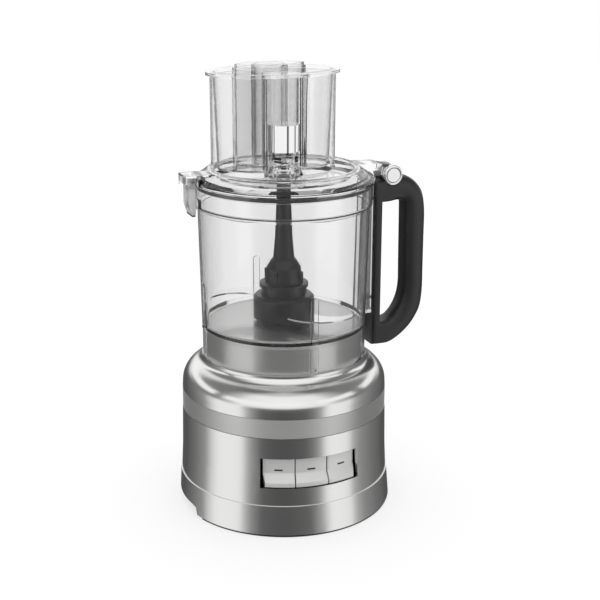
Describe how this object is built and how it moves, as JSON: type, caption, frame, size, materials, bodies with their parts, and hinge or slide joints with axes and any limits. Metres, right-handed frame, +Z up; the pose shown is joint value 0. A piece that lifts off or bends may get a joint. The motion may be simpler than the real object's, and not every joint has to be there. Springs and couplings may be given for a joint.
{
  "type": "food processor",
  "caption": "Motor base with three front keys carrying a clear handled bowl, a bladed hub, and a hinged clear lid with an oval feed tube and nested pushers.",
  "frame": {"origin": "on the drive axis, at the level the feet stand on", "axes": "+Z up along the drive axis, -Y towards the keys, handle close to +X and latch close to -X"},
  "size_m": [0.2613, 0.2209, 0.44],
  "materials": {
    "satin_housing": "satin silver",
    "brushed_steel": "brushed",
    "polished_metal": "polished",
    "clear_plastic": "clear, glossy",
    "charcoal_plastic": "fine matte",
    "hub_plastic": "satin",
    "key_plastic": "satin grey",
    "pale_plastic": "satin",
    "seal_rubber": "matte",
    "black_plastic": "matte",
    "steel": "plain",
    "cast_metal": "cast",
    "copper_winding": "enamelled wire",
    "board": "laminate"
  },
  "bodies": {
    "base": {"base_housing": "satin_housing", "trim_band": "brushed_steel", "pedestal": "brushed_steel", "base_plate": "black_plastic", "feet": "seal_rubber", "base_screws": "steel", "chassis": "cast_metal", "bearing_column": "cast_metal", "lower_bearing": "steel", "upper_bearing": "steel", "shaft_seal": "seal_rubber", "drive_belt": "seal_rubber", "motor_stator": "steel", "field_coils": "copper_winding", "motor_lower_bracket": "cast_metal", "motor_upper_bracket": "cast_metal", "key_frame": "black_plastic", "key_pins": "steel", "control_board": "board", "key_switches": "black_plastic", "bowl_switch": "black_plastic", "cord_gland": "black_plastic"},
    "drive": {"drive_shaft": "steel", "drive_pulley": "black_plastic"},
    "motor": {"motor_shaft": "steel", "motor_rotor": "steel", "commutator": "copper_winding", "cooling_fan": "black_plastic", "motor_pulley": "cast_metal"},
    "low_key": {"key_low": "key_plastic"},
    "high_key": {"key_high": "key_plastic"},
    "pulse_key": {"key_pulse": "key_plastic"},
    "bowl": {"bowl_shell": "clear_plastic", "handle": "charcoal_plastic", "handle_screws": "steel"},
    "blade": {"upper_blade": "polished_metal", "lower_blade": "polished_metal", "blade_hub": "hub_plastic"},
    "lid": {"lid_shell": "clear_plastic", "lid_seal": "seal_rubber", "tower_cap": "polished_metal", "tower_bushing": "clear_plastic", "hinge_pin": "steel", "hinge_rings": "polished_metal", "hinge_discs": "pale_plastic", "latch_pin": "steel"},
    "latch": {"latch_lever": "clear_plastic", "latch_tip": "black_plastic"},
    "large_feed_pusher": {"large_pusher": "clear_plastic"},
    "medium_feed_pusher": {"medium_pusher": "clear_plastic"},
    "small_feed_pusher": {"small_pusher": "clear_plastic"}
  },
  "joints": [
    {"name": "drive_spin", "type": "hinge", "parent": "base", "child": "drive", "pos_m": [0, 0, 0.1], "axis": [0, 0, 1], "continuous": true},
    {"name": "motor_spin", "type": "hinge", "parent": "base", "child": "motor", "pos_m": [0, 0.054, 0.05], "axis": [0, 0, 1], "continuous": true},
    {"name": "low_key_press", "type": "hinge", "parent": "base", "child": "low_key", "pos_m": [-0.03065, -0.09161, 0.0826], "axis": [0.9483, -0.3173, 0], "range_deg": [0, 3], "stiffness_Nm_per_rad": 0.6, "springref_deg": -1.72},
    {"name": "high_key_press", "type": "hinge", "parent": "base", "child": "high_key", "pos_m": [0, -0.0966, 0.0826], "axis": [1, 0, 0], "range_deg": [0, 3], "stiffness_Nm_per_rad": 0.6, "springref_deg": -1.72},
    {"name": "pulse_key_press", "type": "hinge", "parent": "base", "child": "pulse_key", "pos_m": [0.03065, -0.09161, 0.0826], "axis": [0.9483, 0.3173, 0], "range_deg": [0, 3], "stiffness_Nm_per_rad": 0.6, "springref_deg": -1.72},
    {"name": "bowl_lift", "type": "slide", "parent": "base", "child": "bowl", "axis": [0, 0, 1], "range_m": [0, 0.12]},
    {"name": "blade_spin", "type": "hinge", "parent": "bowl", "child": "blade", "pos_m": [0, 0, 0.22], "axis": [0, 0, 1], "continuous": true},
    {"name": "lid_hinge", "type": "hinge", "parent": "bowl", "child": "lid", "pos_m": [0.11157, 0.00976, 0.3302], "axis": [-0.0872, 0.9962, 0], "range_deg": [0, 95]},
    {"name": "latch_swing", "type": "hinge", "parent": "lid", "child": "latch", "pos_m": [-0.09563, -0.00837, 0.3376], "axis": [-0.0872, 0.9962, 0], "range_deg": [0, 32]},
    {"name": "large_pusher_slide", "type": "slide", "parent": "lid", "child": "large_feed_pusher", "axis": [0, 0, 1], "range_m": [0, 0.1]},
    {"name": "medium_pusher_slide", "type": "slide", "parent": "large_feed_pusher", "child": "medium_feed_pusher", "axis": [0, 0, 1], "range_m": [0, 0.1]},
    {"name": "small_pusher_slide", "type": "slide", "parent": "medium_feed_pusher", "child": "small_feed_pusher", "axis": [0, 0, 1], "range_m": [0, 0.1]}
  ],
  "couplings": [
    {"joint": "motor_spin", "follows": "drive_spin", "ratio": 3},
    {"joint": "blade_spin", "follows": "drive_spin", "ratio": 1}
  ]
}
